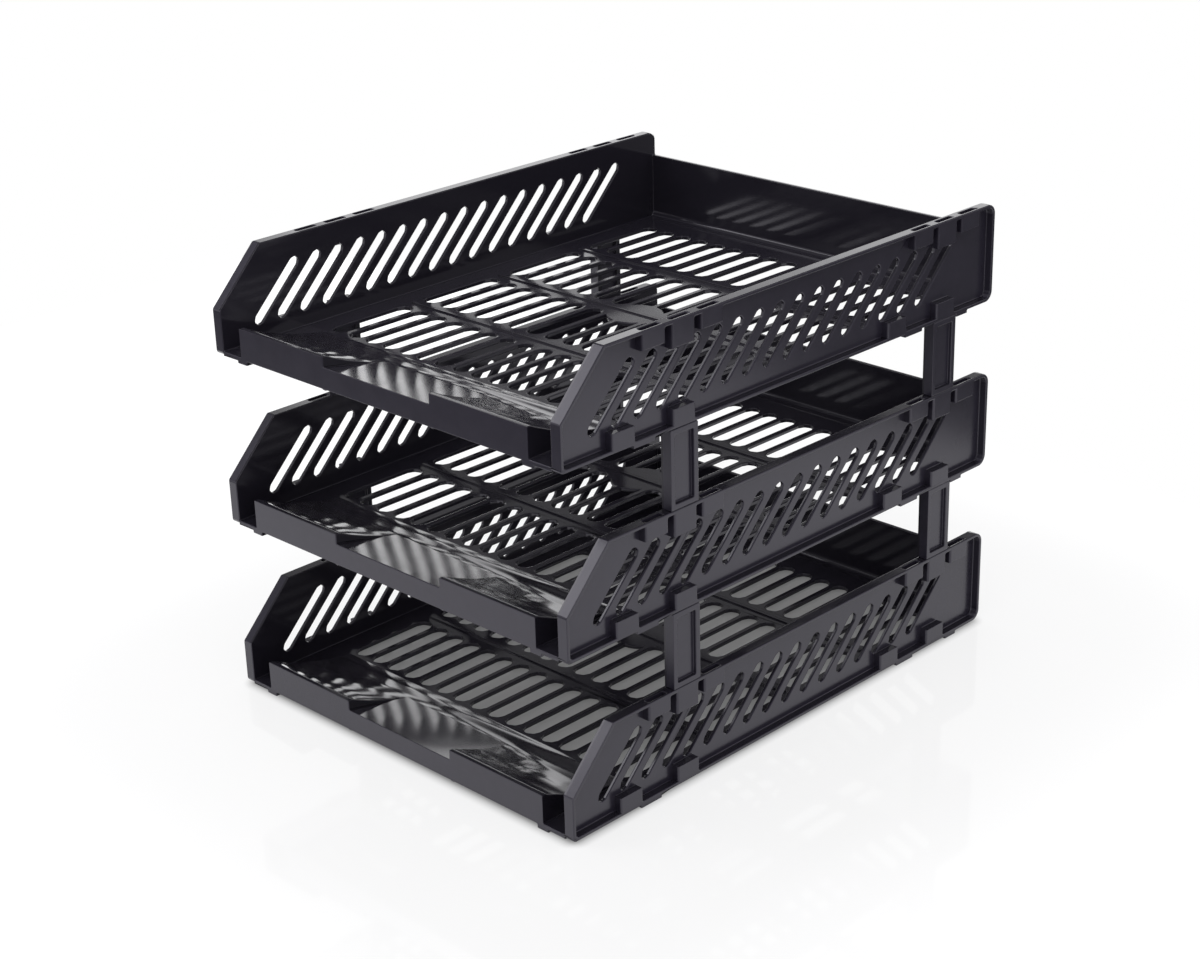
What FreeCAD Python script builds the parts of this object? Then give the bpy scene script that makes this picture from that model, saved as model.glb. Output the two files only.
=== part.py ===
import FreeCAD, Part
import math
import os

import Sketcher
from types import SimpleNamespace

# A desktop rack of three equal file trays, held one above the other by push-in risers.
# Each tray is one moulding, open at the front, and each riser is a small I-shaped post.
# Frame: x = 0 midway between the sides, y = 0 midway from front to back, the front at -y,
# and z = 0 on the desk. A tray's own frame has y = 0 at its front and z = 0 under its rims.

SIZES = {
    # Tray as a whole
    "tray_width": 264.0,
    "tray_depth": 340.0,
    # Sides: a thin wall with a rim all round that stands outwards
    "side_height": 56.0,
    "side_wall": 2.2,
    "rim_width": 6.6,
    "rim_wall": 2.0,
    "front_edge_height": 25.0,
    "front_slope_run": 30.0,
    "rear_corner_radius": 6.0,
    "front_corner_radius": 2.0,
    # Leaning slots through the sides
    "vent_count": 17,
    "vent_pitch": 15.75,
    "vent_width": 6.0,
    "vent_length": 43.8,
    "vent_lean": 45.0,
    "first_vent_place": 38.75,
    "vent_centre_height": 27.1,
    # Floor and back wall
    "floor_wall": 2.4,
    "back_wall": 2.5,
    "back_height": 41.5,
    # Slots through the floor, in rows from side to side
    "slot_columns": 16,
    "slot_pitch": 14.0,
    "slot_width": 10.5,
    "slot_length": 55.3,
    "row_count": 4,
    "row_pitch": 67.13,
    "first_row_front": 60.2,
    "bead_width": 2.6,
    "bead_height": 0.8,
    "hub_radius": 16.0,
    # Front lip and the hollow ramp behind it
    "lip_height": 18.7,
    "lip_land": 2.6,
    "lip_lift": 0.8,
    "lip_gap": 15.4,
    "ramp_wall": 2.2,
    "ramp_depth": 57.6,
    "ramp_radius": 166.0,
    "recess_width": 81.0,
    "recess_depth": 40.5,
    "recess_lip_height": 13.2,
    # Sockets for the risers, in the top rim and under the bottom rim
    "front_riser_place": 84.6,
    "rear_riser_place": 296.3,
    "socket_length": 13.5,
    "socket_width": 3.0,
    "socket_end_wall": 1.5,
    "socket_floor": 1.4,
    "socket_pitch": 20.8,
    "socket_step": 42.8,
    "short_socket_depth": 8.6,
    "long_socket_depth": 13.1,
    # Risers
    "riser_height": 43.0,
    "riser_length": 20.0,
    "riser_border": 3.2,
    "riser_recess": 2.0,
    "tenon_height": 8.4,
    "tenon_gap": 0.15,
    "tenon_end_gap": 0.6,
    # Foot tabs under the bottom rim, and the nubs under the lip's ends, all of one height
    "foot_drop": 1.6,
    "foot_length": 15.6,
    "rear_foot_length": 10.4,
    "foot_gap": 0.3,
    "nub_width": 8.0,
    "nub_overhang": 3.6,
    "nub_depth": 6.0,
}

# Flats that stand for each round end, so that the many slots stay light.
SLOT_END_FLATS = 4
VENT_END_FLATS = 3


class Size:
    """A length with its formula in the sheet, so that it can be drawn and bound at once."""

    def __init__(self, value, formula):
        self.value = value
        self.formula = formula

    def __add__(self, other):
        other = as_size(other)
        return Size(self.value + other.value, f"({self.formula} + {other.formula})")

    def __sub__(self, other):
        other = as_size(other)
        return Size(self.value - other.value, f"({self.formula} - {other.formula})")

    def __mul__(self, other):
        other = as_size(other)
        return Size(self.value * other.value, f"({self.formula} * {other.formula})")

    def __truediv__(self, other):
        other = as_size(other)
        return Size(self.value / other.value, f"({self.formula} / {other.formula})")

    def __neg__(self):
        return Size(-self.value, f"(0 - {self.formula})")


def as_size(number):
    return number if isinstance(number, Size) else Size(float(number), f"{float(number):.9f}")


def root(size):
    return Size(math.sqrt(size.value), f"sqrt({size.formula})")


ZERO = as_size(0)


def make_sheet(doc):
    sheet = doc.addObject("Spreadsheet::Sheet", "Sizes")
    for row, (name, value) in enumerate(SIZES.items(), start=1):
        sheet.set(f"A{row}", name)
        sheet.set(f"B{row}", str(value))
        sheet.setAlias(f"B{row}", name)
    doc.recompute()
    return SimpleNamespace(**{name: Size(value, f"Sizes.{name}") for name, value in SIZES.items()})


def origin_part(body, role):
    return next(item for item in body.Origin.OriginFeatures if item.Role == role)


def new_sketch(body, name, plane, height=ZERO):
    """An empty sketch on one of the body's own planes, moved along that plane's normal."""
    sketch = body.newObject("Sketcher::SketchObject", name)
    sketch.AttachmentSupport = [(origin_part(body, plane), "")]
    sketch.MapMode = "FlatFace"
    sketch.AttachmentOffset = FreeCAD.Placement(FreeCAD.Vector(0, 0, height.value), FreeCAD.Rotation())
    sketch.setExpression("AttachmentOffset.Base.z", height.formula)
    return sketch


def arc_edge(start, end, centre):
    """The shorter arc between two points, and whether it runs from the start by the right-hand rule."""
    middle = FreeCAD.Vector(centre[0].value, centre[1].value, 0)
    to_start = FreeCAD.Vector(start[0].value, start[1].value, 0) - middle
    to_end = FreeCAD.Vector(end[0].value, end[1].value, 0) - middle
    forward = to_start.cross(to_end).z > 0
    circle = Part.Circle(middle, FreeCAD.Vector(0, 0, 1), to_start.Length)
    first, last = (to_start, to_end) if forward else (to_end, to_start)
    angles = [math.atan2(side.y, side.x) for side in (first, last)]
    if angles[1] < angles[0]:
        angles[1] += 2 * math.pi
    return Part.ArcOfCircle(circle, *angles), forward


def draw_outline(sketch, corners, arcs=None):
    """A closed outline. Each corner is a pair of sizes, and arcs holds, for the number of the
    corner where an arc starts, the arc's centre and radius."""
    arcs = arcs or {}
    edges = []
    for number, start in enumerate(corners):
        end = corners[(number + 1) % len(corners)]
        if number in arcs:
            geometry, forward = arc_edge(start, end, arcs[number][0])
        else:
            ends = [FreeCAD.Vector(point[0].value, point[1].value, 0) for point in (start, end)]
            geometry, forward = Part.LineSegment(*ends), True
        edges.append((sketch.addGeometry(geometry, False), 1 if forward else 2, 2 if forward else 1))
    joins = []
    measures = []
    for number, (edge, start_point, end_point) in enumerate(edges):
        following, next_start, _ = edges[(number + 1) % len(edges)]
        joins.append(Sketcher.Constraint("Coincident", edge, end_point, following, next_start))
        for kind, size in zip(("DistanceX", "DistanceY"), corners[number]):
            measures.append((Sketcher.Constraint(kind, -1, 1, edge, start_point, size.value), size))
        if number in arcs:
            radius = arcs[number][1]
            measures.append((Sketcher.Constraint("Radius", edge, radius.value), radius))
    sketch.addConstraint(joins)
    indexes = sketch.addConstraint([constraint for constraint, _ in measures])
    for index, (_, size) in zip(indexes, measures):
        name = f"size_{index}"
        sketch.renameConstraint(index, name)
        sketch.setExpression(f"Constraints.{name}", size.formula)


def draw_box(sketch, low_x, high_x, low_y, high_y):
    draw_outline(sketch, [(low_x, low_y), (high_x, low_y), (high_x, high_y), (low_x, high_y)])


def draw_slot(sketch, centre_x, centre_y, width, length, end_flats):
    """A slot along the sketch's y, its ends rounded by a few flats with their corners on the curve."""
    radius = width / 2
    corners = []
    for side in (1, -1):
        end_y = centre_y + (length / 2 - radius) * side
        for step in range(end_flats + 1):
            angle = math.pi * step / end_flats
            across = radius * (side * math.cos(angle))
            along = radius * (side * math.sin(angle))
            corners.append((centre_x + across, end_y + along))
    draw_outline(sketch, corners)


def add_pad(body, name, sketch, length):
    pad = body.newObject("PartDesign::Pad", name)
    pad.Refine = False
    pad.Profile = sketch
    pad.setExpression("Length", length.formula)
    return pad


def add_pocket(body, name, sketch, depth, along_normal=False):
    """A cut that starts at the sketch and runs against its normal, or along it."""
    pocket = body.newObject("PartDesign::Pocket", name)
    pocket.Refine = False
    pocket.Profile = sketch
    pocket.Reversed = along_normal
    pocket.setExpression("Length", depth.formula)
    return pocket


def add_rows(body, name, original, directions):
    """Copies of a feature along one or two of the body's axes: axis, pitch and count for each."""
    pattern = body.newObject("PartDesign::LinearPattern", name)
    pattern.Refine = False
    pattern.Originals = [original]
    for suffix, (axis, pitch, count) in zip(("", "2"), directions):
        setattr(pattern, "Direction" + suffix, (origin_part(body, axis), [""]))
        setattr(pattern, "Mode" + suffix, "Extent")
        pattern.setExpression("Length" + suffix, (pitch * (count - 1)).formula)
        pattern.setExpression("Occurrences" + suffix, count.formula)
    body.Tip = pattern
    return pattern


def side_outline(sizes, inset):
    """The side seen square on, drawn in by an inset: level rims, an upright and a sloping front
    edge, and round corners at the bottom front and at both ends of the rear edge."""
    top = sizes.side_height - inset
    rear = sizes.tray_depth - inset
    run = sizes.front_slope_run
    rise = sizes.side_height - sizes.front_edge_height
    slope = rise / run
    drop = inset * root(run * run + rise * rise) / run
    rear_radius = sizes.rear_corner_radius - inset
    front_radius = sizes.front_corner_radius
    corners = [
        (inset + front_radius, inset),
        (rear - rear_radius, inset),
        (rear, inset + rear_radius),
        (rear, top - rear_radius),
        (rear - rear_radius, top),
        ((top - sizes.front_edge_height + drop) / slope, top),
        (inset, sizes.front_edge_height + slope * inset - drop),
        (inset, inset + front_radius),
    ]
    arcs = {
        1: ((rear - rear_radius, inset + rear_radius), rear_radius),
        3: ((rear - rear_radius, top - rear_radius), rear_radius),
        7: ((inset + front_radius, inset + front_radius), front_radius),
    }
    return corners, arcs


def add_side(body, sizes):
    """The right side: a solid bar of the side's outline, hollowed from outside to a thin wall
    inside a rim, then pierced by the row of leaning slots."""
    inner_face = sizes.tray_width / 2 - sizes.rim_width
    outer_face = sizes.tray_width / 2
    bar = new_sketch(body, "side_shape", "YZ_Plane", inner_face)
    draw_outline(bar, *side_outline(sizes, ZERO))
    add_pad(body, "side", bar, sizes.rim_width)

    hollow = new_sketch(body, "rim_inside", "YZ_Plane", outer_face)
    draw_outline(hollow, *side_outline(sizes, sizes.rim_wall))
    add_pocket(body, "side_hollow", hollow, sizes.rim_width - sizes.side_wall)

    vent = new_sketch(body, "vent_shape", "YZ_Plane", inner_face + sizes.side_wall)
    place = FreeCAD.Vector(sizes.first_vent_place.value, sizes.vent_centre_height.value, vent.AttachmentOffset.Base.z)
    vent.AttachmentOffset = FreeCAD.Placement(place, FreeCAD.Rotation(FreeCAD.Vector(0, 0, 1), -sizes.vent_lean.value))
    vent.setExpression("AttachmentOffset.Base.x", sizes.first_vent_place.formula)
    vent.setExpression("AttachmentOffset.Base.y", sizes.vent_centre_height.formula)
    draw_slot(vent, ZERO, ZERO, sizes.vent_width, sizes.vent_length, VENT_END_FLATS)
    vent_cut = add_pocket(body, "vent", vent, sizes.side_wall)
    add_rows(body, "vent_row", vent_cut, [("Y_Axis", sizes.vent_pitch, sizes.vent_count)])


def add_floor(body, sizes):
    """The floor and back wall in one bend, the strips of floor beside the ramp, and the beads on
    the bands between the rows of slots. Only the right half is drawn."""
    inner_face = sizes.tray_width / 2 - sizes.rim_width
    ramp_end = inner_face - sizes.lip_gap
    back_face = sizes.tray_depth - sizes.back_wall
    radius = sizes.rear_corner_radius
    inside_radius = radius - sizes.back_wall

    section = new_sketch(body, "floor_and_back_shape", "YZ_Plane")
    corners = [
        (sizes.ramp_depth, ZERO),
        (sizes.tray_depth - radius, ZERO),
        (sizes.tray_depth, radius),
        (sizes.tray_depth, sizes.back_height),
        (back_face, sizes.back_height),
        (back_face, sizes.floor_wall + inside_radius),
        (back_face - inside_radius, sizes.floor_wall),
        (sizes.ramp_depth, sizes.floor_wall),
    ]
    arcs = {
        1: ((sizes.tray_depth - radius, radius), radius),
        5: ((back_face - inside_radius, sizes.floor_wall + inside_radius), inside_radius),
    }
    draw_outline(section, corners, arcs)
    add_pad(body, "floor_and_back", section, inner_face)

    margin = new_sketch(body, "front_margin_shape", "XY_Plane")
    draw_box(margin, ramp_end, inner_face, ZERO, sizes.ramp_depth)
    add_pad(body, "front_margin", margin, sizes.floor_wall)

    bead = new_sketch(body, "bead_shape", "XY_Plane", sizes.floor_wall)
    bead_centre = sizes.first_row_front + (sizes.slot_length + sizes.row_pitch) / 2
    draw_box(bead, ZERO, ramp_end, bead_centre - sizes.bead_width / 2, bead_centre + sizes.bead_width / 2)
    bead_pad = add_pad(body, "bead", bead, sizes.bead_height)
    add_rows(body, "beads", bead_pad, [("Y_Axis", sizes.row_pitch, sizes.row_count - 1)])


def add_floor_slots(body, sizes):
    """The rows of slots over the whole floor, then the plain round patch in the middle."""
    slot = new_sketch(body, "floor_slot_shape", "XY_Plane")
    slot_centre = sizes.first_row_front + sizes.slot_length / 2
    first_column = -sizes.slot_pitch * (sizes.slot_columns - 1) / 2
    draw_slot(slot, first_column, slot_centre, sizes.slot_width, sizes.slot_length, SLOT_END_FLATS)
    slot_cut = add_pocket(body, "floor_slot", slot, sizes.floor_wall, along_normal=True)
    across = ("X_Axis", sizes.slot_pitch, sizes.slot_columns)
    back = ("Y_Axis", sizes.row_pitch, sizes.row_count)
    add_rows(body, "floor_slots", slot_cut, [across, back])

    hub = new_sketch(body, "hub_shape", "XY_Plane")
    hub_centre = slot_centre + sizes.row_pitch * 1.5
    hub_left = (-sizes.hub_radius, hub_centre)
    hub_right = (sizes.hub_radius, hub_centre)
    hub_front = (ZERO, hub_centre - sizes.hub_radius)
    hub_rear = (ZERO, hub_centre + sizes.hub_radius)
    turn = ((ZERO, hub_centre), sizes.hub_radius)
    quarters = {0: turn, 1: turn, 2: turn, 3: turn}
    draw_outline(hub, [hub_left, hub_front, hub_right, hub_rear], quarters)
    add_pad(body, "hub", hub, sizes.floor_wall)


def ramp_curve(sizes):
    """The hollow curve of the ramp: its front and rear points and its centre, which lies above."""
    front = (sizes.lip_land, sizes.lip_height)
    rear = (sizes.ramp_depth, sizes.floor_wall)
    run = rear[0] - front[0]
    fall = front[1] - rear[1]
    chord = root(run * run + fall * fall)
    height = root(sizes.ramp_radius * sizes.ramp_radius - chord * chord / 4)
    centre_y = (front[0] + rear[0]) / 2 + height * fall / chord
    centre_z = (front[1] + rear[1]) / 2 + height * run / chord
    return front, rear, (centre_y, centre_z)


def ramp_height_at(sizes, place):
    centre_y, centre_z = ramp_curve(sizes)[2]
    beside = centre_y - place
    return centre_z - root(sizes.ramp_radius * sizes.ramp_radius - beside * beside)


def add_ramp(body, sizes):
    """The lip and ramp, an open-bottomed shell: a full-height stretch on each side, a lower
    stretch under the finger recess in the middle, and a wall at each step and each end."""
    front, rear, centre = ramp_curve(sizes)
    ramp_end = sizes.tray_width / 2 - sizes.rim_width - sizes.lip_gap
    recess_edge = sizes.recess_width / 2
    wall = sizes.ramp_wall
    radius = sizes.ramp_radius
    inside_rear = (sizes.ramp_depth, sizes.floor_wall - wall)

    shell = new_sketch(body, "ramp_shape", "YZ_Plane", recess_edge)
    inside_front = (wall, sizes.lip_height - wall)
    corners = [(ZERO, sizes.lip_lift), (ZERO, sizes.lip_height), front, rear]
    corners += [inside_rear, inside_front, (wall, sizes.lip_lift)]
    draw_outline(shell, corners, {2: (centre, radius), 4: (centre, radius + wall)})
    add_pad(body, "ramp", shell, ramp_end - recess_edge)

    low = new_sketch(body, "recess_shape", "YZ_Plane")
    meeting = (sizes.recess_depth, ramp_height_at(sizes, sizes.recess_depth))
    corners = [(ZERO, sizes.lip_lift), (ZERO, sizes.recess_lip_height), meeting, rear]
    corners += [inside_rear, (sizes.recess_depth, meeting[1] - wall)]
    corners += [(wall, sizes.recess_lip_height - wall), (wall, sizes.lip_lift)]
    draw_outline(low, corners, {2: (centre, radius), 4: (centre, radius + wall)})
    add_pad(body, "finger_recess", low, recess_edge)

    for name, start in (("recess_step", recess_edge), ("ramp_end", ramp_end - wall)):
        web = new_sketch(body, name + "_shape", "YZ_Plane", start)
        corners = [(ZERO, sizes.lip_lift), (ZERO, sizes.lip_height), front, rear]
        corners += [(sizes.ramp_depth, ZERO), (sizes.lip_lift, ZERO)]
        draw_outline(web, corners, {2: (centre, radius)})
        add_pad(body, name, web, wall)

    nub = new_sketch(body, "nub_shape", "XY_Plane", -sizes.foot_drop)
    nub_outer = ramp_end + sizes.nub_overhang
    draw_box(nub, nub_outer - sizes.nub_width, nub_outer, ZERO, sizes.nub_depth)
    add_pad(body, "nub", nub, sizes.foot_drop + sizes.floor_wall)


def top_socket_places(sizes):
    """Where the sockets in the top rim are, with their depths. The deep one holds a riser."""
    places = []
    for riser in (sizes.front_riser_place, sizes.rear_riser_place):
        places.append((riser - sizes.socket_pitch, sizes.short_socket_depth))
        places.append((riser, sizes.long_socket_depth))
        places.append((riser + sizes.socket_pitch, sizes.short_socket_depth))
    return places


def bottom_socket_places(sizes):
    """Where the sockets under the bottom rim are: one over each riser, and one a step in front."""
    places = []
    for riser in (sizes.front_riser_place, sizes.rear_riser_place):
        places += [riser - sizes.socket_step, riser]
    return places


def add_sockets(body, sizes):
    """The blocks on the side's outer face that guide the risers, hollow and open to the front."""
    socket_face = sizes.tray_width / 2 - sizes.rim_width + sizes.side_wall
    half = sizes.socket_length / 2
    bottom_depth = sizes.tenon_height + sizes.tenon_end_gap
    blocks = new_sketch(body, "socket_block_shape", "YZ_Plane", socket_face)
    for place, depth in top_socket_places(sizes):
        low = sizes.side_height - depth - sizes.socket_floor
        high = sizes.side_height - sizes.rim_wall / 2
        draw_box(blocks, place - half, place + half + sizes.socket_end_wall, low, high)
    for place in bottom_socket_places(sizes):
        high = bottom_depth + sizes.socket_floor
        draw_box(blocks, place - half, place + half + sizes.socket_end_wall, sizes.rim_wall / 2, high)
    add_pad(body, "socket_blocks", blocks, sizes.rim_width - sizes.side_wall)

    for name, depth in (("short", sizes.short_socket_depth), ("long", sizes.long_socket_depth)):
        mouth = new_sketch(body, name + "_socket_shape", "XY_Plane", sizes.side_height)
        for place, socket_depth in top_socket_places(sizes):
            if socket_depth is depth:
                draw_box(mouth, socket_face, socket_face + sizes.socket_width, place - half, place + half)
        add_pocket(body, name + "_sockets", mouth, depth)
    mouth = new_sketch(body, "bottom_socket_shape", "XY_Plane")
    for place in bottom_socket_places(sizes):
        draw_box(mouth, socket_face, socket_face + sizes.socket_width, place - half, place + half)
    add_pocket(body, "bottom_sockets", mouth, bottom_depth, along_normal=True)


def foot_places(sizes):
    """Each foot tab's front end and length: behind the front sockets, and behind the rear riser."""
    places = []
    for riser in (sizes.front_riser_place, sizes.rear_riser_place):
        socket_rear = riser - sizes.socket_step + sizes.socket_length / 2
        places.append((socket_rear + sizes.foot_gap, sizes.foot_length))
    riser_rear = sizes.rear_riser_place + sizes.riser_length / 2
    places.append((riser_rear + sizes.foot_gap, sizes.rear_foot_length))
    return places


def add_feet(body, sizes):
    outer_face = sizes.tray_width / 2
    feet = new_sketch(body, "foot_shape", "XY_Plane", -sizes.foot_drop)
    for front, length in foot_places(sizes):
        draw_box(feet, outer_face - sizes.rim_width + sizes.side_wall, outer_face, front, front + length)
    add_pad(body, "feet", feet, sizes.foot_drop + sizes.rim_wall / 2)


def make_tray(doc, sizes):
    """One tray: its right half, mirrored as a whole, then the slots over the whole floor."""
    body = doc.addObject("PartDesign::Body", "lower_tray")
    add_side(body, sizes)
    add_floor(body, sizes)
    add_ramp(body, sizes)
    add_sockets(body, sizes)
    add_feet(body, sizes)
    doc.recompute()
    halves = body.newObject("PartDesign::Mirrored", "both_halves")
    halves.TransformMode = "Whole shape"
    halves.MirrorPlane = (origin_part(body, "YZ_Plane"), [""])
    body.Tip = halves
    add_floor_slots(body, sizes)
    doc.recompute()
    return body


def make_riser(doc, sizes):
    """One riser, with x = 0 on the rim's inner edge and z = 0 on the rim it stands on."""
    body = doc.addObject("PartDesign::Body", "lower_front_right_riser")
    half = sizes.riser_length / 2
    post = new_sketch(body, "post_shape", "XY_Plane")
    draw_box(post, ZERO, sizes.rim_width, -half, half)
    add_pad(body, "post", post, sizes.riser_height)

    border = sizes.riser_border
    for name, face, inwards in (("outer", sizes.rim_width, False), ("inner", ZERO, True)):
        panel = new_sketch(body, name + "_panel_shape", "YZ_Plane", face)
        draw_box(panel, border - half, half - border, border, sizes.riser_height - border)
        add_pocket(body, name + "_panel", panel, sizes.riser_recess, along_normal=inwards)

    tenon_front = sizes.tenon_gap - sizes.socket_length / 2
    tenon_inner = sizes.side_wall + sizes.tenon_gap
    tenon_outer = sizes.side_wall + sizes.socket_width - sizes.tenon_gap
    tenons = (("lower_tenon", -sizes.tenon_height), ("upper_tenon", sizes.riser_height))
    for name, start in tenons:
        tenon = new_sketch(body, name + "_shape", "XY_Plane", start)
        draw_box(tenon, tenon_inner, tenon_outer, tenon_front, -tenon_front)
        add_pad(body, name, tenon, sizes.tenon_height)
    doc.recompute()
    return body


def make_copy(doc, source, name):
    """Another piece from the same mould, once the source is recomputed and its tip has its place."""
    body = doc.addObject("PartDesign::Body", name)
    copy = doc.addObject("PartDesign::FeatureBase", name + "_moulding")
    copy.BaseFeature = source.Tip
    copy.Placement = source.Tip.Placement
    body.Group = [copy]
    body.Tip = copy
    return body


def place_body(body, x, y, z, turned=False):
    turn = FreeCAD.Rotation(FreeCAD.Vector(0, 0, 1), 180 if turned else 0)
    body.Placement = FreeCAD.Placement(FreeCAD.Vector(x.value, y.value, z.value), turn)
    for axis, size in zip("xyz", (x, y, z)):
        body.setExpression("Placement.Base." + axis, size.formula)


def place_trays(doc, sizes, tray):
    tier_pitch = sizes.side_height + sizes.riser_height
    for tier, name in enumerate(("lower", "middle", "top")):
        body = tray if tier == 0 else make_copy(doc, tray, name + "_tray")
        place_body(body, ZERO, -sizes.tray_depth / 2, sizes.foot_drop + tier_pitch * tier)
        yield body


def place_risers(doc, sizes, riser):
    inner_face = sizes.tray_width / 2 - sizes.rim_width
    tier_pitch = sizes.side_height + sizes.riser_height
    ends = (("front", sizes.front_riser_place), ("rear", sizes.rear_riser_place))
    for tier, level in enumerate(("lower", "upper")):
        for end, place in ends:
            for side, turned in (("right", False), ("left", True)):
                name = f"{level}_{end}_{side}_riser"
                body = riser if name == riser.Name else make_copy(doc, riser, name)
                x = -inner_face if turned else inner_face
                z = sizes.foot_drop + sizes.side_height + tier_pitch * tier
                place_body(body, x, place - sizes.tray_depth / 2, z, turned)
                yield body


def check(doc, bodies, mouldings):
    """The copies have the mouldings' own faces, so only the mouldings are tested for validity."""
    for item in doc.Objects:
        if "Invalid" in item.State or "Error" in item.State:
            raise RuntimeError(f"{item.Name} has the state {item.State}")
    for body in bodies:
        if body.Shape.isNull() or len(body.Shape.Solids) != 1:
            raise RuntimeError(f"{body.Label} isn't one solid")
    for body in mouldings:
        if not body.Shape.isValid():
            raise RuntimeError(f"{body.Label} isn't valid")


def main():
    doc = FreeCAD.newDocument("file_tray_rack")
    sizes = make_sheet(doc)
    tray = make_tray(doc, sizes)
    riser = make_riser(doc, sizes)
    bodies = [*place_trays(doc, sizes, tray), *place_risers(doc, sizes, riser)]
    doc.recompute()
    check(doc, bodies, (tray, riser))
    os.makedirs("parts", exist_ok=True)
    for body in bodies:
        body.Shape.exportStep(os.path.join("parts", body.Label + ".step"))
        print(f"{body.Label}: {body.Shape.Volume / 1000:.1f} cubic centimetres")


main()
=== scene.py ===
import math

import bpy
from mathutils import Matrix, Vector


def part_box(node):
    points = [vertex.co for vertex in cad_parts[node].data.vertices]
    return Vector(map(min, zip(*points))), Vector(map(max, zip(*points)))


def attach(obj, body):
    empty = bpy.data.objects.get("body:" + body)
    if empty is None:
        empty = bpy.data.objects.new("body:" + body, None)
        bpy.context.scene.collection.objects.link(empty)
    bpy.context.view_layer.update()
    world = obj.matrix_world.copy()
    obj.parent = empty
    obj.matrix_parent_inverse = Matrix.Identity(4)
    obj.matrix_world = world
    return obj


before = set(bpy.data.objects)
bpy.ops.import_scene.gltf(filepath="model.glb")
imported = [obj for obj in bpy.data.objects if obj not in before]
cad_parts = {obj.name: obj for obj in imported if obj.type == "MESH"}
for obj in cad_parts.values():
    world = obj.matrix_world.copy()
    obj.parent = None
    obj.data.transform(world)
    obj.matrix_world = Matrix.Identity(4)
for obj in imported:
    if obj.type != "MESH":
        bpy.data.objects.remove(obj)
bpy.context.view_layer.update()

# The camera: it stands to the right of the open front at about twice the rack's height, and looks
# down over the near front corner. The rack's corners in the photograph give its place and lens.
CAMERA_PLACE = (0.84180, -0.85512, 0.60800)
CAMERA_HEADING = math.radians(44.974)
CAMERA_DOWNWARD_TILT = math.radians(22.608)
CAMERA_ROLL = math.radians(-1.595)
FOCAL_LENGTH_PIXELS = 2300.2
PICTURE_WIDTH_PIXELS = 1200.0
SENSOR_WIDTH_MM = 36.0
NEAREST_SEEN = 0.05
FARTHEST_SEEN = 50.0

camera_data = bpy.data.cameras.new("camera")
camera_data.sensor_width = SENSOR_WIDTH_MM
camera_data.lens = FOCAL_LENGTH_PIXELS * SENSOR_WIDTH_MM / PICTURE_WIDTH_PIXELS
camera_data.clip_start = NEAREST_SEEN
camera_data.clip_end = FARTHEST_SEEN
camera = bpy.data.objects.new("camera", camera_data)
bpy.context.scene.collection.objects.link(camera)
heading = Matrix.Rotation(CAMERA_HEADING, 4, "Z")
tilt = Matrix.Rotation(math.pi / 2 - CAMERA_DOWNWARD_TILT, 4, "X")
roll = Matrix.Rotation(CAMERA_ROLL, 4, "Z")
camera.matrix_world = Matrix.Translation(CAMERA_PLACE) @ heading @ tilt @ roll
bpy.context.scene.camera = camera


# The trays: three equal injection mouldings in black polystyrene. The tool is polished inside, so
# the floor, ramp and walls are glossy, and its outer side is left satin by spark erosion. Push-in
# risers hold them apart, and no screw or pin is used.
TRAY_NODES = ("lower_tray", "middle_tray", "top_tray")
TRAY_BODIES = ("lower_tier", "middle_tier", "top_tier")
OUTER_FACE_DISTANCE = 0.1268
LIP_FACE_DEPTH = -0.1696
LEVEL_FACE = 0.95
BLACK_PLASTIC = (0.020, 0.018, 0.026, 1.0)
SATIN_BLACK = (0.024, 0.021, 0.034, 1.0)
GREY_BLOOM = (0.036, 0.032, 0.049, 1.0)
GLOSSY_ROUGHNESS = 0.11
SATIN_ROUGHNESS = 0.22
CLOUD_ROUGHNESS = 0.05
PLASTIC_IOR = 1.55
VIOLET_SHEEN = (0.93, 0.91, 1.0, 1.0)
GRAINS_PER_METRE = 2600.0
GRAIN_SHARE = 0.02
WAVES_PER_METRE = 26.0
CLOUDS_PER_METRE = 90.0
TRAY_WAVE_DEPTH = 0.08
RELIEF_DEPTH = 0.0004
UPWARD_FACE = 0.8
RAMP_EXTRA_SLOPE = 0.036
RAMP_REAR = -0.1124
WELD_REACH = 0.00001
EDGE_RADIUS = 0.0006
EDGE_STEPS = 2
SHARP_ANGLE = math.radians(25)
SIDE_INNER_FACE = 0.1254
FRONT_FACE = -0.170
CORNER_HEIGHT = 0.0021
UNTOUCHED_REACH = 0.0012


def new_group(name, inputs, outputs):
    """A shader node group of number sockets, with its input and output nodes. The inputs come with
    their usual values."""
    group = bpy.data.node_groups.new(name, "ShaderNodeTree")
    for label, value in inputs.items():
        socket = group.interface.new_socket(label, in_out="INPUT", socket_type="NodeSocketFloat")
        socket.default_value = value
    for label in outputs:
        group.interface.new_socket(label, in_out="OUTPUT", socket_type="NodeSocketFloat")
    return group, group.nodes.new("NodeGroupInput"), group.nodes.new("NodeGroupOutput")


def feed(tree, socket, value):
    """Gives a socket a number, a colour or a place, or links another node's output to it."""
    if isinstance(value, (int, float, tuple)):
        socket.default_value = value
    else:
        tree.links.new(value, socket)


def math_node(tree, operation, *values):
    """A math node whose inputs are numbers or other nodes' outputs; returns its output."""
    node = tree.nodes.new("ShaderNodeMath")
    node.operation = operation
    for socket, value in zip(node.inputs, values):
        feed(tree, socket, value)
    return node.outputs[0]


def vector_math(tree, operation, *values):
    """A vector math node whose inputs are places or other nodes' outputs; returns its outputs."""
    node = tree.nodes.new("ShaderNodeVectorMath")
    node.operation = operation
    for socket, value in zip(node.inputs, values):
        feed(tree, socket, value)
    return node.outputs


def object_place(tree):
    return tree.nodes.new("ShaderNodeTexCoord").outputs["Object"]


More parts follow.
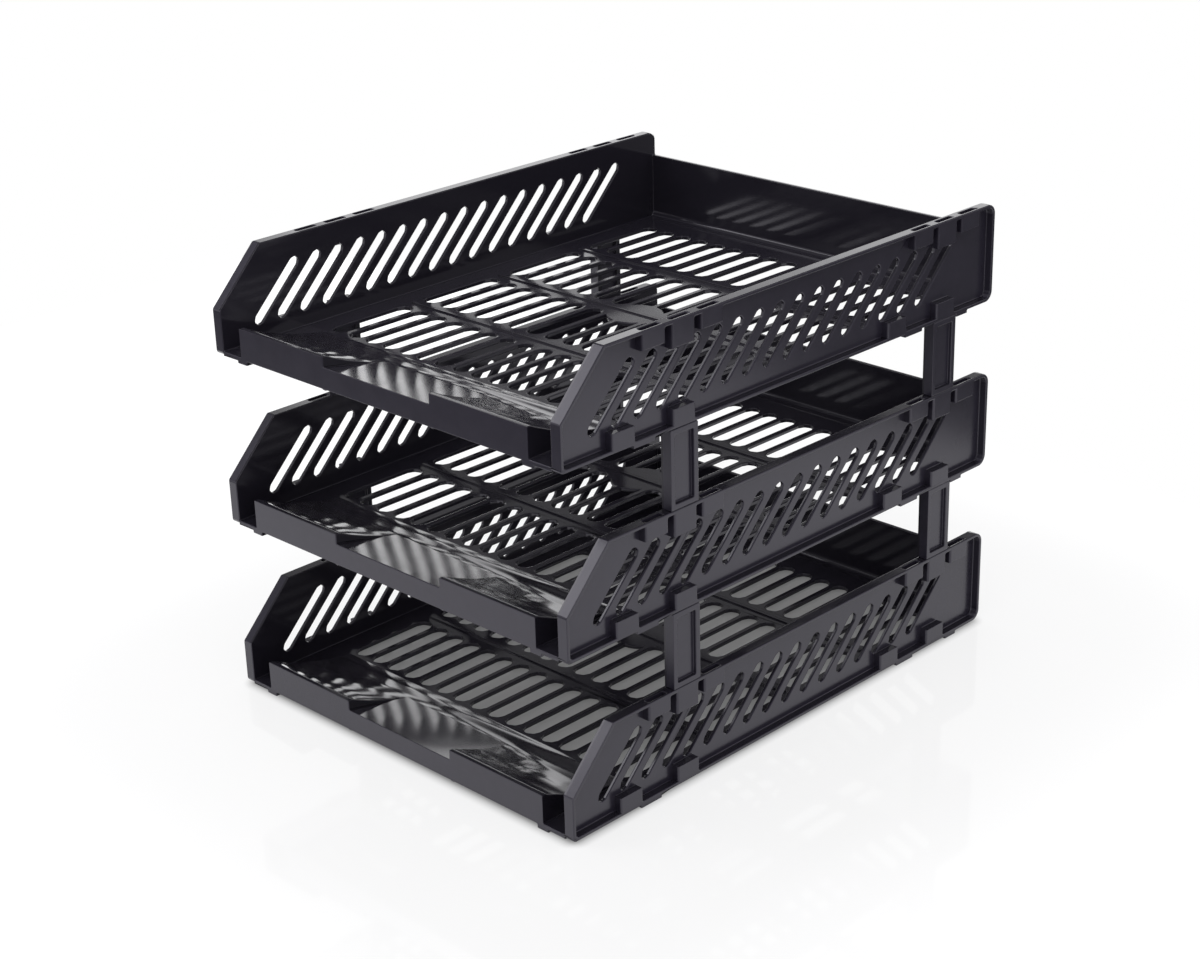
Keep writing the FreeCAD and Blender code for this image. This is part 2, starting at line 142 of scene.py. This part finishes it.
def axes_of(tree, vector):
    """The X, Y and Z outputs of a vector."""
    node = tree.nodes.new("ShaderNodeSeparateXYZ")
    tree.links.new(vector, node.inputs[0])
    return node.outputs


def upward_share(tree):
    """How far a face looks up: 1 for a level one, 0 for an upright one, -1 for an underside."""
    return axes_of(tree, tree.nodes.new("ShaderNodeTexCoord").outputs["Normal"])["Z"]


def noise(tree, per_metre, detail):
    """Cloudy noise, with the number of waves in a metre; returns its value."""
    node = tree.nodes.new("ShaderNodeTexNoise")
    node.inputs["Detail"].default_value = detail
    tree.links.new(object_place(tree), node.inputs["Vector"])
    feed(tree, node.inputs["Scale"], per_metre)
    return node.outputs[0]


# Spark texture: the fine, even grain that an eroded tool leaves on the plastic.
spark_texture, given, made = new_group(
    "spark_texture", {"Grains per metre": GRAINS_PER_METRE, "Depth": 1.0}, ["Height"])
grain = noise(spark_texture, given.outputs["Grains per metre"], detail=2.0)
grain = math_node(spark_texture, "MULTIPLY", grain, given.outputs["Depth"])
spark_texture.links.new(grain, made.inputs["Height"])

# Mould flow: slow waves and sink marks in the polished skin, which bend the reflections, and the
# cloud that the bloom and the sheen follow.
mould_flow, given, made = new_group(
    "mould_flow", {"Waves per metre": WAVES_PER_METRE, "Depth": 1.0}, ["Height", "Cloud"])
wave = noise(mould_flow, given.outputs["Waves per metre"], detail=1.0)
wave = math_node(mould_flow, "MULTIPLY", wave, given.outputs["Depth"])
mould_flow.links.new(wave, made.inputs["Height"])
mould_flow.links.new(noise(mould_flow, CLOUDS_PER_METRE, detail=3.0), made.inputs["Cloud"])

# Outer face: 1 on the faces outside the side walls and on the lip's front, but not on level ones,
# and 0 inside the tray.
outer_face, given, made = new_group(
    "outer_face", {"Side distance": OUTER_FACE_DISTANCE, "Front depth": LIP_FACE_DEPTH}, ["Mask"])
place = axes_of(outer_face, object_place(outer_face))
aside = math_node(outer_face, "ABSOLUTE", place["X"])
beside = math_node(outer_face, "GREATER_THAN", aside, given.outputs["Side distance"])
before = math_node(outer_face, "LESS_THAN", place["Y"], given.outputs["Front depth"])
outside = math_node(outer_face, "MAXIMUM", beside, before)
upright = math_node(outer_face, "LESS_THAN", upward_share(outer_face), LEVEL_FACE)
outer_face.links.new(math_node(outer_face, "MULTIPLY", outside, upright), made.inputs["Mask"])

# Ramp rise: the real ramp leans about two degrees more than the drawn one, which turns its gloss.
ramp_rise, given, made = new_group(
    "ramp_rise", {"Slope": RAMP_EXTRA_SLOPE, "Rear": RAMP_REAR}, ["Height"])
place = axes_of(ramp_rise, object_place(ramp_rise))
upward = math_node(ramp_rise, "GREATER_THAN", upward_share(ramp_rise), UPWARD_FACE)
ahead = math_node(ramp_rise, "SUBTRACT", given.outputs["Rear"], place["Y"])
ahead = math_node(ramp_rise, "MAXIMUM", ahead, 0.0)
rise = math_node(ramp_rise, "MULTIPLY", ahead, given.outputs["Slope"])
rise = math_node(ramp_rise, "MULTIPLY", rise, upward)
ramp_rise.links.new(math_node(ramp_rise, "DIVIDE", rise, RELIEF_DEPTH), made.inputs["Height"])


def mix_colours(tree, share, first, second):
    """A mix of two colours, each given as a colour or as another node's output."""
    node = tree.nodes.new("ShaderNodeMix")
    node.data_type = "RGBA"
    tree.links.new(share, node.inputs[0])
    feed(tree, node.inputs[6], first)
    feed(tree, node.inputs[7], second)
    return node.outputs[2]


def place_group(tree, group, **values):
    node = tree.nodes.new("ShaderNodeGroup")
    node.node_tree = group
    for label, value in values.items():
        node.inputs[label].default_value = value
    return node.outputs


def moulded_plastic(name, glossy_roughness, satin_roughness, wave_depth):
    """Black plastic, polished inside and satin outside, with a faint grey bloom."""
    material = bpy.data.materials.new(name)
    material.use_nodes = True
    tree = material.node_tree
    shader = tree.nodes["Principled BSDF"]
    mask = place_group(tree, outer_face)["Mask"]
    flow = place_group(tree, mould_flow, Depth=wave_depth)
    grain = place_group(tree, spark_texture, Depth=1.0)["Height"]

    satin_colour = mix_colours(tree, flow["Cloud"], SATIN_BLACK, GREY_BLOOM)
    colour = mix_colours(tree, mask, BLACK_PLASTIC, satin_colour)
    tree.links.new(colour, shader.inputs["Base Color"])

    satin = math_node(tree, "MULTIPLY", mask, satin_roughness - glossy_roughness)
    cloud = math_node(tree, "MULTIPLY", flow["Cloud"], CLOUD_ROUGHNESS)
    rough = math_node(tree, "ADD", satin, cloud)
    rough = math_node(tree, "ADD", rough, glossy_roughness - CLOUD_ROUGHNESS / 2)
    tree.links.new(rough, shader.inputs["Roughness"])

    grain = math_node(tree, "MULTIPLY", grain, mask)
    grain = math_node(tree, "MULTIPLY", grain, GRAIN_SHARE)
    relief = math_node(tree, "ADD", flow["Height"], grain)
    relief = math_node(tree, "ADD", relief, place_group(tree, ramp_rise)["Height"])
    bump = tree.nodes.new("ShaderNodeBump")
    bump.inputs["Distance"].default_value = RELIEF_DEPTH
    bump.inputs["Strength"].default_value = 1.0
    tree.links.new(relief, bump.inputs["Height"])
    tree.links.new(bump.outputs[0], shader.inputs["Normal"])
    shader.inputs["IOR"].default_value = PLASTIC_IOR
    shader.inputs["Specular Tint"].default_value = VIOLET_SHEEN
    return material


def rounding_choice(name, untouched):
    """A modifier group that marks the sharp edges for rounding, but for those right at the points
    left untouched, where a short edge meets a corner of the bar."""
    tree = bpy.data.node_groups.new(name, "GeometryNodeTree")
    tree.is_modifier = True
    tree.interface.new_socket("Geometry", in_out="INPUT", socket_type="NodeSocketGeometry")
    tree.interface.new_socket("Geometry", in_out="OUTPUT", socket_type="NodeSocketGeometry")
    angle = tree.nodes.new("GeometryNodeInputMeshEdgeAngle").outputs["Unsigned Angle"]
    weight = math_node(tree, "GREATER_THAN", angle, SHARP_ANGLE)
    place = tree.nodes.new("GeometryNodeInputPosition").outputs[0]
    for point in untouched:
        reach = vector_math(tree, "DISTANCE", place, point)["Value"]
        clear = math_node(tree, "GREATER_THAN", reach, UNTOUCHED_REACH)
        weight = math_node(tree, "MULTIPLY", weight, clear)
    mark = tree.nodes.new("GeometryNodeStoreNamedAttribute")
    mark.data_type = "FLOAT"
    mark.domain = "EDGE"
    mark.inputs["Name"].default_value = "bevel_weight_edge"
    tree.links.new(tree.nodes.new("NodeGroupInput").outputs[0], mark.inputs["Geometry"])
    tree.links.new(weight, mark.inputs["Value"])
    tree.links.new(mark.outputs[0], tree.nodes.new("NodeGroupOutput").inputs[0])
    return tree


def soften_edges(piece, untouched=()):
    """Welds the solid's facets and rounds its edges by the small radius that a mould leaves."""
    weld = piece.modifiers.new("weld", "WELD")
    weld.merge_threshold = WELD_REACH
    choice = piece.modifiers.new("rounding_choice", "NODES")
    choice.node_group = rounding_choice(piece.name + "_rounding_choice", untouched)
    bevel = piece.modifiers.new("edge_radius", "BEVEL")
    bevel.width = EDGE_RADIUS
    bevel.segments = EDGE_STEPS
    bevel.limit_method = "WEIGHT"
    bevel.use_clamp_overlap = False
    bevel.harden_normals = True
    bevel.miter_outer = "MITER_ARC"


tray_plastic = moulded_plastic("black_tray_plastic", GLOSSY_ROUGHNESS, SATIN_ROUGHNESS, TRAY_WAVE_DEPTH)
for name in TRAY_NODES:
    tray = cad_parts[name]
    corner_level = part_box(name)[0][2] + CORNER_HEIGHT
    front_corners = [(side * SIDE_INNER_FACE, FRONT_FACE, corner_level) for side in (-1, 1)]
    tray.data.materials.clear()
    tray.data.materials.append(tray_plastic)
    soften_edges(tray, front_corners)


# The socket fronts: each hollow block on a tray's sides is closed in front by a thin wall of the
# same moulding, with a rounded outer edge. It hides the riser's tenon.
BLOCK_INNER = 0.1276
BLOCK_OUTER = 0.13203
BLOCK_SKIN = 0.1308
FRONT_WALL = 0.0012
SKIN_OVERLAP = 0.0009
ROUND_STEPS = 6
SOCKET_HALF_LENGTH = 0.00675
TRAY_FEET = 0.0016
RISER_PLACES = (-0.0854, 0.1263)
SOCKET_PITCH = 0.0208
SOCKET_STEP = 0.0428
TOP_BLOCK_TOP = 0.055
SHORT_BLOCK_FOOT = 0.0460
LONG_BLOCK_FOOT = 0.0415
BOTTOM_BLOCK_FOOT = 0.001
BOTTOM_BLOCK_TOP = 0.0104


def socket_blocks():
    """The middle, foot and top of each block on one side of a tray, from the tray's bottom rim."""
    for riser in RISER_PLACES:
        yield riser - SOCKET_PITCH, SHORT_BLOCK_FOOT, TOP_BLOCK_TOP
        yield riser, LONG_BLOCK_FOOT, TOP_BLOCK_TOP
        yield riser + SOCKET_PITCH, SHORT_BLOCK_FOOT, TOP_BLOCK_TOP
        yield riser - SOCKET_STEP, BOTTOM_BLOCK_FOOT, BOTTOM_BLOCK_TOP
        yield riser, BOTTOM_BLOCK_FOOT, BOTTOM_BLOCK_TOP


def front_outline(mouth):
    """The wall's outline from above, on the right: flat behind, with a round outer front edge."""
    outline = [(BLOCK_INNER, mouth), (BLOCK_INNER, mouth - FRONT_WALL)]
    for step in range(ROUND_STEPS + 1):
        angle = math.pi / 2 * step / ROUND_STEPS
        x = BLOCK_OUTER - FRONT_WALL * (1 - math.sin(angle))
        outline.append((x, mouth - FRONT_WALL * math.cos(angle)))
    outline.append((BLOCK_OUTER, mouth + SKIN_OVERLAP))
    outline.append((BLOCK_SKIN, mouth + SKIN_OVERLAP))
    outline.append((BLOCK_SKIN, mouth))
    return outline


def add_front_wall(points, faces, side, outline, foot, top):
    """One upright wall of an outline, on the right for side 1 and mirrored to the left for -1."""
    first = len(points)
    count = len(outline)
    for level in (foot, top):
        points += [(side * x, y, level) for x, y in outline]
    wall = []
    for step in range(count):
        following = (step + 1) % count
        wall.append([first + step, first + following, first + count + following, first + count + step])
    wall.append(list(range(first + count - 1, first - 1, -1)))
    wall.append(list(range(first + count, first + 2 * count)))
    faces += wall if side > 0 else [face[::-1] for face in wall]


for name, body in zip(TRAY_NODES, TRAY_BODIES):
    rim_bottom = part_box(name)[0][2] + TRAY_FEET
    points = []
    faces = []
    for side in (1, -1):
        for middle, foot, top in socket_blocks():
            outline = front_outline(middle - SOCKET_HALF_LENGTH)
            add_front_wall(points, faces, side, outline, rim_bottom + foot, rim_bottom + top)
    fronts_mesh = bpy.data.meshes.new(name + "_socket_fronts")
    fronts_mesh.from_pydata(points, [], faces)
    fronts_mesh.materials.append(tray_plastic)
    fronts = bpy.data.objects.new(name + "_socket_fronts", fronts_mesh)
    bpy.context.scene.collection.objects.link(fronts)
    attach(fronts, body)


# The risers: eight equal posts of the same plastic, each with a framed face, and a tenon at each
# end that pushes into the hollow blocks of the trays' rims. Their tool is less polished.
RISER_INNER_ROUGHNESS = 0.22
RISER_OUTER_ROUGHNESS = 0.24
RISER_WAVE_DEPTH = 0.3
RISER_NODES = [f"{tier}_{end}_{side}_riser" for tier in ("lower", "upper") for end in ("front", "rear")
               for side in ("left", "right")]

riser_plastic = moulded_plastic("black_riser_plastic", RISER_INNER_ROUGHNESS, RISER_OUTER_ROUGHNESS,
                                RISER_WAVE_DEPTH)
for name in RISER_NODES:
    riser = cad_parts[name]
    riser.data.materials.clear()
    riser.data.materials.append(riser_plastic)
    soften_edges(riser)


# The table: a sheet of glossy white laminate, which mirrors the rack faintly. Its base is grey. A painted
# glow of its own, seen by the camera and in reflections, paints it plain white right up to the rack over
# the rack's shadow, and a little brighter farther out; under the rack little glow is painted, a painted
# shade.
TABLE_LEFT = -0.80
TABLE_RIGHT = 0.80
TABLE_FRONT = -0.43
TABLE_REAR = 0.40
TABLE_WHITE = (0.26, 0.26, 0.265, 1.0)
TABLE_ROUGHNESS = 0.05
TABLE_IOR = 1.80
FOOTPRINT = (0.126, 0.164, 0.0)
# Painted light on the table: the glow is strong just outside the rack's footprint, weak under it as
# painted shade, and a little stronger far out.
NEAR_PAINTED_GLOW = {"From Min": 0.0, "From Max": 0.012, "To Min": 0.11, "To Max": 0.77}
FAR_PAINTED_GLOW = {"From Min": 0.08, "From Max": 0.26, "To Min": 0.0, "To Max": 0.10}


def smooth_step(tree, value, limits):
    """A value taken smoothly from one pair of limits to another; returns the output."""
    node = tree.nodes.new("ShaderNodeMapRange")
    node.interpolation_type = "SMOOTHSTEP"
    tree.links.new(value, node.inputs["Value"])
    for label, limit in limits.items():
        node.inputs[label].default_value = limit
    return node.outputs[0]


def seen_directly(tree):
    """1 for what the camera sees, straight, in a gloss or through something clear."""
    paths = tree.nodes.new("ShaderNodeLightPath")
    seen = math_node(tree, "MAXIMUM", paths.outputs["Is Camera Ray"], paths.outputs["Is Glossy Ray"])
    return math_node(tree, "MAXIMUM", seen, paths.outputs["Is Transmission Ray"])


def distance_outside(tree, half_size):
    """How far a place lies outside a box of this half size round the middle."""
    place = vector_math(tree, "ABSOLUTE", object_place(tree))["Vector"]
    place = vector_math(tree, "SUBTRACT", place, half_size)["Vector"]
    place = vector_math(tree, "MAXIMUM", place, (0.0, 0.0, 0.0))["Vector"]
    return vector_math(tree, "LENGTH", place)["Value"]


laminate = bpy.data.materials.new("white_laminate")
laminate.use_nodes = True
laminate.cycles.emission_sampling = "NONE"
laminate_tree = laminate.node_tree
laminate_shader = laminate_tree.nodes["Principled BSDF"]
laminate_shader.inputs["Base Color"].default_value = TABLE_WHITE
laminate_shader.inputs["Roughness"].default_value = TABLE_ROUGHNESS
laminate_shader.inputs["IOR"].default_value = TABLE_IOR
laminate_shader.inputs["Emission Strength"].default_value = 1.0
# The painted glow: low under the rack, which paints shade there, full just outside it over the rack's
# shadow, and more far out.
distance = distance_outside(laminate_tree, FOOTPRINT)
near_painted_glow = smooth_step(laminate_tree, distance, NEAR_PAINTED_GLOW)
far_painted_glow = smooth_step(laminate_tree, distance, FAR_PAINTED_GLOW)
painted_glow = math_node(laminate_tree, "ADD", near_painted_glow, far_painted_glow)
painted_glow = math_node(laminate_tree, "MULTIPLY", painted_glow, seen_directly(laminate_tree))
laminate_tree.links.new(painted_glow, laminate_shader.inputs["Emission Color"])

table_corners = [(TABLE_LEFT, TABLE_FRONT, 0), (TABLE_RIGHT, TABLE_FRONT, 0),
                 (TABLE_RIGHT, TABLE_REAR, 0), (TABLE_LEFT, TABLE_REAR, 0)]
table_mesh = bpy.data.meshes.new("table_sheet")
table_mesh.from_pydata(table_corners, [], [(0, 1, 2, 3)])
table_mesh.materials.append(laminate)
table = bpy.data.objects.new("table_sheet", table_mesh)
bpy.context.scene.collection.objects.link(table)


# The light: a white room, whose floor and ceiling look dim in a gloss, a wide soft lamp overhead, a
# large low one far behind the left, which whitens the top rims, and a weak one above the open
# front. The room's limits are heights of the direction looked in, from -1 below to 1 overhead.
ROOM_LIGHT = 0.60
FLOOR_TO_WALL = {"From Min": -0.06, "From Max": 0.0, "To Min": 0.15, "To Max": 1.0}
WALL_TO_CEILING = {"From Min": 0.28, "From Max": 0.325, "To Min": 1.0, "To Max": 0.25}


def softbox(name, place, aim, width, height, power):
    data = bpy.data.lights.new(name, "AREA")
    data.shape = "RECTANGLE"
    data.size = width
    data.size_y = height
    data.energy = power
    lamp = bpy.data.objects.new(name, data)
    lamp.location = place
    lamp.rotation_euler = (Vector(aim) - Vector(place)).to_track_quat("-Z", "Y").to_euler()
    lamp.visible_camera = False
    bpy.context.scene.collection.objects.link(lamp)


softbox("overhead_softbox", place=(0.25, -0.25, 1.9), aim=(0, 0, 0.1),
        width=1.2, height=1.2, power=8.0)
softbox("rear_softbox", place=(-13.12, 15.08, 3.40), aim=(0, 0, 3.40),
        width=8.0, height=6.80, power=146.0)
softbox("front_softbox", place=(-0.80, -0.80, 1.08), aim=(0.13, -0.15, 0.15),
        width=0.45, height=0.5, power=2.2)

world = bpy.data.worlds.new("white_room")
bpy.context.scene.world = world
world.use_nodes = True
world.cycles.sampling_method = "NONE"
room = world.node_tree
background = room.nodes["Background"]
background.inputs["Color"].default_value = (1.0, 1.0, 1.0, 1.0)
paths = room.nodes.new("ShaderNodeLightPath")
height = axes_of(room, room.nodes.new("ShaderNodeTexCoord").outputs["Generated"])["Z"]
walls = smooth_step(room, height, WALL_TO_CEILING)
floor = smooth_step(room, height, FLOOR_TO_WALL)
bright = math_node(room, "MULTIPLY", walls, floor)
in_gloss = math_node(room, "MULTIPLY", paths.outputs["Is Glossy Ray"], bright)
straight = math_node(room, "MAXIMUM", paths.outputs["Is Camera Ray"], paths.outputs["Is Transmission Ray"])
seen = math_node(room, "MAXIMUM", straight, in_gloss)
by_diffusion = math_node(room, "MULTIPLY", paths.outputs["Is Diffuse Ray"], ROOM_LIGHT)
strength = math_node(room, "MAXIMUM", seen, by_diffusion)
room.links.new(strength, background.inputs["Strength"])

bpy.context.scene.view_settings.view_transform = "Standard"
